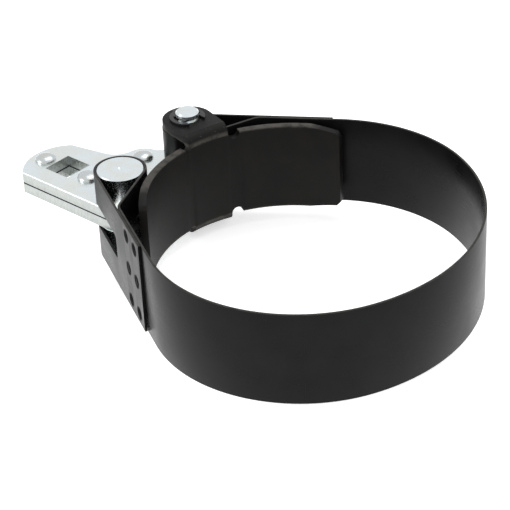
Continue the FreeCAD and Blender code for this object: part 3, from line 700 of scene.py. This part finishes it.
def hole_cutter(strap, rivet, end, s, z):
    """A countersunk cutter for one rivet hole."""
    grip = 2 * strap.thickness + strap.fold_gap
    inner_depth = rivet.inner_radius - rivet.shank_radius
    outer_depth = rivet.outer_radius - rivet.shank_radius
    # the cones run past both faces, so that no ring of the cutter lies in a face of the strap
    past = 0.3 * MM
    clear = 0.02 * MM
    profile = [(0.0, -grip - past), (rivet.inner_radius + past, -grip - past),
               (rivet.shank_radius, -grip + inner_depth), (rivet.shank_radius, -outer_depth - 2.5 * clear),
               (rivet.shank_radius - clear, -outer_depth - clear), (rivet.outer_radius + past, past), (0.0, past)]
    mesh = lathe("hole_cutter", profile, rivet.sides)
    turn, place = end.frame_matrix(s, -end.wrap - strap.thickness)
    matrix = Matrix.Translation(place + Vector((0.0, 0.0, z))) @ turn.to_4x4()
    points = [matrix @ v.co for v in mesh.vertices]
    faces = [list(p.vertices) for p in mesh.polygons]
    bpy.data.meshes.remove(mesh)
    return points, faces


def cut_openings(item, end, slot_length, strap, rivet):
    """Cuts the slot and the rivet holes out of one strap piece."""
    column = strap.fold_length - rivet.edge_distance
    cutters = [slot_cutter(end, slot_length, strap)]
    cutters += [hole_cutter(strap, rivet, end, s, row * rivet.row_pitch)
                for s in (column - rivet.column_pitch, column) for row in (1, 0, -1)]
    points, faces = [], []
    for some_points, some_faces in cutters:
        faces += [[len(points) + k for k in face] for face in some_faces]
        points += some_points
    mesh = mesh_of("cutter", points, faces)
    face_outwards(mesh)
    cutter = new_object("cutter", mesh)
    modifier = item.modifiers.new("openings", "BOOLEAN")
    modifier.operation = "DIFFERENCE"
    modifier.solver = "EXACT"
    modifier.object = cutter
    bake_modifiers(item)
    bpy.data.objects.remove(cutter)


def folded_ends(strap):
    """The strap's two folded ends."""
    return (FoldedEnd(strap, ANCHOR, strap.anchor_angle, 1), FoldedEnd(strap, PIVOT, strap.pivot_angle, -1))


def bend_limits(strap):
    """Where the moving end starts and stops bending."""
    anchor_end, pivot_end = folded_ends(strap)
    loop = loop_line(strap, anchor_end, pivot_end)
    stop = next(point for angle, point in loop if angle >= strap.bend_to)
    return anchor_end.at(7.0 * MM, -anchor_end.wrap), stop


# ---------------------------------------------------------------- operators
class WRENCH_OT_strap(bpy.types.Operator):
    """Makes the spring steel strap: the band with its pivot end, and the anchor end as a piece of its own"""

    bl_idname = "wrench.strap"
    bl_label = "Strap"

    def execute(self, context):
        strap, rivet = context.scene.wrench_strap, context.scene.wrench_rivet
        anchor_end, pivot_end = folded_ends(strap)
        loop = loop_line(strap, anchor_end, pivot_end)
        cut = next(k for k, (angle, _) in enumerate(loop) if angle >= strap.bend_to)
        steel = black_oxide_spring_steel(context.scene.wrench_finish)
        group = strap_group()
        near = anchor_end.middle_line() + [point for _, point in loop[:cut + 1]]
        rest = [point for _, point in loop[cut:]] + list(reversed(pivot_end.middle_line()))
        pieces = []
        for name, path, end, slot_length in (("strap_anchor_end", near, anchor_end, strap.anchor_slot),
                                             ("strap_band", rest, pivot_end, strap.pivot_slot)):
            mesh = mesh_of(name, path, edges=[(k, k + 1) for k in range(len(path) - 1)])
            item = new_object(name, mesh)
            run_group(item, group, {"Width": strap.width, "Thickness": strap.thickness,
                                    "Edge Radius": strap.edge_radius, "Material": steel})
            face_outwards(item.data)
            cut_openings(item, end, slot_length, strap, rivet)
            shade(item.data)
            pieces.append(item)
        start, stop = bend_limits(strap)
        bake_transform(pieces[0])
        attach(pieces[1], "strap")
        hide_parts("strap")
        return {"FINISHED"}


class WRENCH_OT_end_rivets(bpy.types.Operator):
    """Makes the recessed rivets through both folded ends of the strap"""

    bl_idname = "wrench.end_rivets"
    bl_label = "Strap rivets"

    def execute(self, context):
        strap, rivet = context.scene.wrench_strap, context.scene.wrench_rivet
        steel = black_rivet_steel_and_recess_shade(context.scene.wrench_finish)
        group = rivet_group()
        start, stop = bend_limits(strap)
        column = strap.fold_length - rivet.edge_distance
        kinds = (("dished", False, 2, 2 * rivet.row_pitch, (1, 3, 4, 6)),
                 ("domed", True, 1, rivet.row_pitch, (2, 5)))
        for word, end in zip(("anchor", "pivot"), folded_ends(strap)):
            for kind, domed, rows, pitch, numbers in kinds:
                item = new_object("%s_end_%s_rivets" % (word, kind),
                                  lathe("rivet", rivet_profile(strap, rivet, domed), rivet.sides))
                turn, place = end.frame_matrix(column - rivet.column_pitch / 2, -end.wrap - strap.thickness)
                run_group(item, group, {"Columns": 2, "Rows": rows, "Column Pitch": rivet.column_pitch,
                                        "Row Pitch": pitch, "Place": place, "Turn": Vector(turn.to_euler()),
                                        "Material": steel})
                shade(item.data, 40.0)
                if word == "anchor":
                    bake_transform(item)
                else:
                    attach(item, "strap")
                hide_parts(*["%s_end_rivet_%d" % (word, number) for number in numbers])
        return {"FINISHED"}


class WRENCH_OT_jaw(bpy.types.Operator):
    """Makes the stamped jaw with its rounded edges"""

    bl_idname = "wrench.jaw"
    bl_label = "Jaw"

    def execute(self, context):
        finish = context.scene.wrench_finish
        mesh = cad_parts["jaw"].data.copy()
        mesh.materials.clear()
        build = bmesh.new()
        build.from_mesh(mesh)
        bmesh.ops.remove_doubles(build, verts=build.verts, dist=1e-6)
        bmesh.ops.dissolve_limit(build, angle_limit=math.radians(0.6), verts=build.verts, edges=build.edges)
        build.to_mesh(mesh)
        build.free()
        jaw = new_object("stamped_jaw", mesh)
        bevel = jaw.modifiers.new("edges", "BEVEL")
        bevel.width = finish.jaw_round
        bevel.segments = 3
        bevel.limit_method = "ANGLE"
        bevel.angle_limit = math.radians(50)
        bevel.use_clamp_overlap = True
        bake_modifiers(jaw)
        shade(jaw.data, 30.0)
        plate_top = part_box("jaw")[1][2] - EAR_RISE
        give(jaw, black_phosphate_stamping(finish, plate_top / MM))
        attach(jaw, "jaw")
        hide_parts("jaw")
        return {"FINISHED"}


class WRENCH_OT_clips(bpy.types.Operator):
    """Finishes the retaining clips on the pivot pin"""

    bl_idname = "wrench.clips"
    bl_label = "Retaining clips"

    def execute(self, context):
        steel = black_phosphate_spring_clip(context.scene.wrench_finish)
        for name in ("retaining_clip_upper", "retaining_clip_lower"):
            give(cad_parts[name], steel)
        return {"FINISHED"}


class WRENCH_OT_lever(bpy.types.Operator):
    """Finishes the lever's two plates and the rivets that hold them together"""

    bl_idname = "wrench.lever"
    bl_label = "Lever"

    def execute(self, context):
        finish = context.scene.wrench_finish
        plate = zinc_plated_blanking(finish)
        rivet = zinc_plated_rivet(finish)
        for name in ("lever_plate_upper", "lever_plate_lower"):
            give(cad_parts[name], plate)
        for number in (1, 2, 3):
            give(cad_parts["lever_rivet_%d" % number], rivet)
        return {"FINISHED"}


class WRENCH_OT_pins(bpy.types.Operator):
    """Finishes the pivot pin, its rollers and the anchor pin"""

    bl_idname = "wrench.pins"
    bl_label = "Pins and rollers"

    def execute(self, context):
        finish = context.scene.wrench_finish
        at_pivot = zinc_plated_turning(finish, "zinc_plated_turned_pivot", PIVOT)
        at_anchor = zinc_plated_turning(finish, "zinc_plated_turned_anchor", ANCHOR)
        for name in ("pivot_pin", "pivot_roller_upper", "pivot_roller_lower"):
            give(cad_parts[name], at_pivot)
        for name in ("anchor_pin_upper", "anchor_pin_lower"):
            give(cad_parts[name], at_anchor)
        return {"FINISHED"}


class WRENCH_OT_stage(bpy.types.Operator):
    """Makes the floor, the lights and the camera"""

    bl_idname = "wrench.stage"
    bl_label = "Stage"

    def execute(self, context):
        scene = context.scene
        settings = scene.wrench_stage
        scene.view_settings.view_transform = "Standard"
        scene.view_settings.look = "None"
        self.make_floor(settings)
        self.make_lights(scene, settings)
        self.make_camera(scene, settings)
        return {"FINISHED"}

    def make_floor(self, settings):
        """A wide sheet that the pivot pin's end and the strap's far edge rest on."""
        pin_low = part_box("pivot_pin")[0]
        foot = Vector((PIVOT.x, PIVOT.y, pin_low[2] - 0.1 * MM))
        # the far rim of the loop, which is what the tilted wrench rests on besides the pin
        far = Vector((20.0 * MM, -84.0 * MM, STRAP_LOW.z - 0.1 * MM))
        run = (far - foot).normalized()
        side = run.cross(Vector((0.0, 0.0, 1.0))).normalized()
        middle = (foot + far) / 2
        size = 6.0
        corners = [middle + run * size * u + side * size * v for u, v in ((-1, -1), (1, -1), (1, 1), (-1, 1))]
        floor = new_object("floor", mesh_of("floor", corners, [(0, 1, 2, 3)]))
        if floor.data.polygons[0].normal.z < 0:
            floor.data.flip_normals()
        give(floor, studio_floor(settings))

    def make_lights(self, scene, settings):
        """An even white surround with a soft box above and one at the left."""
        world = bpy.data.worlds.new("white_surround")
        world.use_nodes = True
        background = next(n for n in world.node_tree.nodes if n.type == "BACKGROUND")
        background.inputs["Color"].default_value = linear("#fdfdff")
        background.inputs["Strength"].default_value = settings.sky
        scene.world = world
        for name, place, power, size in (("soft_box_above", (0.25, 0.35, 1.1), 3.0, 0.9),
                                         ("soft_box_left", (-1.1, -0.3, 0.55), 4.0, 0.7)):
            light = bpy.data.lights.new(name, "AREA")
            light.energy = power
            light.size = size
            item = bpy.data.objects.new(name, light)
            item.location = place
            item.rotation_euler = (Vector((0.0, 0.0, 0.0)) - Vector(place)).to_track_quat("-Z", "Y").to_euler()
            scene.collection.objects.link(item)

    def make_camera(self, scene, settings):
        """The camera, placed on a circle about its aim point, then turned and rolled."""
        aim = Vector(settings.aim)
        rise = settings.elevation
        place = aim + Vector((0.0, -math.cos(rise), math.sin(rise))) * settings.distance
        yaw = settings.yaw
        fall = rise - settings.pitch
        forward = Vector((math.cos(fall) * math.sin(yaw), math.cos(fall) * math.cos(yaw), -math.sin(fall)))
        level = forward.cross(Vector((0.0, 0.0, 1.0))).normalized()
        above = level.cross(forward)
        c, s = math.cos(settings.roll), math.sin(settings.roll)
        right = level * c + above * s
        up = above * c - level * s
        camera = bpy.data.objects.new("camera", bpy.data.cameras.new("camera"))
        camera.data.lens = settings.lens
        camera.data.sensor_width = 36.0
        camera.data.clip_start = 0.01
        camera.data.clip_end = 50.0
        camera.matrix_world = Matrix.Translation(place) @ Matrix((right, up, -forward)).transposed().to_4x4()
        scene.collection.objects.link(camera)
        scene.camera = camera


OPERATORS = (WRENCH_OT_strap, WRENCH_OT_end_rivets, WRENCH_OT_jaw, WRENCH_OT_clips, WRENCH_OT_lever,
             WRENCH_OT_pins, WRENCH_OT_stage)
SETTINGS = (("wrench_strap", StrapSettings), ("wrench_rivet", RivetSettings), ("wrench_finish", FinishSettings),
            ("wrench_stage", StageSettings))


class WRENCH_PT_panel(bpy.types.Panel):
    """Lists the wrench's pieces and their settings."""

    bl_label = "Filter Wrench"
    bl_idname = "WRENCH_PT_panel"
    bl_space_type = "VIEW_3D"
    bl_region_type = "UI"
    bl_category = "Filter Wrench"

    def draw(self, context):
        for operator in OPERATORS:
            self.layout.operator(operator.bl_idname)
        for name, kind in SETTINGS:
            box = self.layout.box()
            for prop in kind.__annotations__:
                box.prop(getattr(context.scene, name), prop)


def register():
    for _, kind in SETTINGS:
        bpy.utils.register_class(kind)
    for operator in OPERATORS:
        bpy.utils.register_class(operator)
    bpy.utils.register_class(WRENCH_PT_panel)
    for name, kind in SETTINGS:
        setattr(bpy.types.Scene, name, PointerProperty(type=kind))


def unregister():
    for name, _ in SETTINGS:
        delattr(bpy.types.Scene, name)
    bpy.utils.unregister_class(WRENCH_PT_panel)
    for operator in reversed(OPERATORS):
        bpy.utils.unregister_class(operator)
    for _, kind in reversed(SETTINGS):
        bpy.utils.unregister_class(kind)


def main():
    register()
    bpy.ops.wrench.strap()
    bpy.ops.wrench.end_rivets()
    bpy.ops.wrench.jaw()
    bpy.ops.wrench.clips()
    bpy.ops.wrench.lever()
    bpy.ops.wrench.pins()
    bpy.ops.wrench.stage()


if __name__ == "__main__":
    main()
